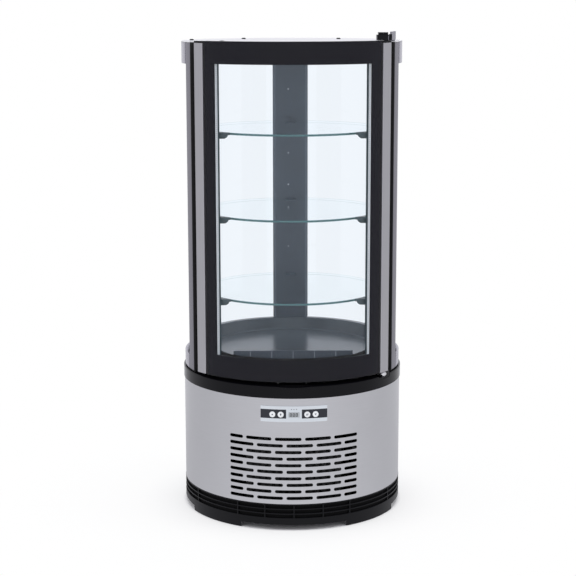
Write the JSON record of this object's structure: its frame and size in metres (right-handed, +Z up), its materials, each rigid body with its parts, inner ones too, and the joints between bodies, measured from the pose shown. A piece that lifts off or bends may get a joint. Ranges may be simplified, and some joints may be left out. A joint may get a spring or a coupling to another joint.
{
  "type": "refrigerated display case",
  "caption": "Round refrigerated display case with a curved double-glazed door, glass shelves, a louvred base and a slotted steel machine housing.",
  "frame": {"origin": "centre of the underside, on the floor plane", "axes": "+Z up, the door and control panel face -Y, the door's hinge is on +X"},
  "size_m": [0.453, 0.453, 0.9785],
  "materials": {
    "stainless_skin": "brushed",
    "anodised": "satin anodised",
    "roof_grey": "satin",
    "gloss_black": "gloss",
    "satin_black": "satin",
    "black_rubber": "matt",
    "dark_grey": "satin gloss",
    "liner": "satin",
    "clear_glass": "polished",
    "chrome_knob": "polished",
    "galvanised": "matt zinc",
    "pot_black": "satin enamel",
    "copper": "drawn",
    "fins": "bare",
    "panel_film": "satin",
    "white_plastic": "satin",
    "display_window": "gloss"
  },
  "bodies": {
    "cabinet": {"base_skirt": "satin_black", "base_plate": "galvanised", "steel_skin": "stainless_skin", "collar_ring": "gloss_black", "lower_band": "anodised", "upper_band": "anodised", "post_left": "anodised", "post_right": "anodised", "rear_glass_left": "clear_glass", "rear_glass_right": "clear_glass", "top_plate": "roof_grey", "ceiling_panel": "liner", "door_surround": "satin_black", "insulated_tub": "liner", "floor_pan": "dark_grey", "air_return_baffle": "dark_grey", "air_column": "dark_grey", "shelf_rail": "dark_grey", "shelf_1": "clear_glass", "shelf_2": "clear_glass", "shelf_3": "clear_glass", "hinge_bracket_low": "satin_black", "hinge_pin_low": "chrome_knob", "hinge_bracket_top": "anodised", "hinge_cover": "satin_black", "control_panel": "panel_film", "display": "display_window", "control_box": "white_plastic", "condenser_coil": "fins", "condenser_fan_frame": "galvanised", "compressor": "pot_black", "evaporator_coil": "fins", "evaporator_fan_frame": "galvanised", "discharge_pipe": "copper", "suction_pipe": "copper", "power_inlet": "satin_black", "shelf_clip_left_1": "satin_black", "shelf_clip_left_2": "satin_black", "shelf_clip_left_3": "satin_black", "shelf_clip_right_1": "satin_black", "shelf_clip_right_2": "satin_black", "shelf_clip_right_3": "satin_black"},
    "door": {"door_glass_outer": "clear_glass", "door_glass_inner": "clear_glass", "door_frame": "satin_black", "door_spacer": "anodised", "door_gasket": "black_rubber", "door_strip_left": "anodised", "door_strip_right": "anodised", "door_cap_left": "gloss_black", "door_cap_right": "gloss_black"},
    "button_1": {"button_1": "white_plastic"},
    "button_2": {"button_2": "white_plastic"},
    "button_3": {"button_3": "white_plastic"},
    "button_4": {"button_4": "white_plastic"},
    "condenser_fan": {"condenser_fan": "satin_black"},
    "evaporator_fan": {"evaporator_fan": "satin_black"}
  },
  "joints": [
    {"name": "door_hinge", "type": "hinge", "parent": "cabinet", "child": "door", "pos_m": [0.18098, -0.12707, 0.3013], "axis": [0, 0, 1], "range_deg": [0, 115]},
    {"name": "button_1_press", "type": "slide", "parent": "cabinet", "child": "button_1", "axis": [0.1891, 0.982, 0], "range_m": [0, 0.0008], "stiffness_N_per_m": 600},
    {"name": "button_2_press", "type": "slide", "parent": "cabinet", "child": "button_2", "axis": [0.1162, 0.9932, 0], "range_m": [0, 0.0008], "stiffness_N_per_m": 600},
    {"name": "button_3_press", "type": "slide", "parent": "cabinet", "child": "button_3", "axis": [-0.1162, 0.9932, 0], "range_m": [0, 0.0008], "stiffness_N_per_m": 600},
    {"name": "button_4_press", "type": "slide", "parent": "cabinet", "child": "button_4", "axis": [-0.1891, 0.982, 0], "range_m": [0, 0.0008], "stiffness_N_per_m": 600},
    {"name": "condenser_fan_spin", "type": "hinge", "parent": "cabinet", "child": "condenser_fan", "pos_m": [0, -0.131, 0.0923], "axis": [0, 1, 0], "continuous": true},
    {"name": "evaporator_fan_spin", "type": "hinge", "parent": "cabinet", "child": "evaporator_fan", "pos_m": [0, 0.0595, 0.2541], "axis": [0, 1, 0], "continuous": true}
  ]
}
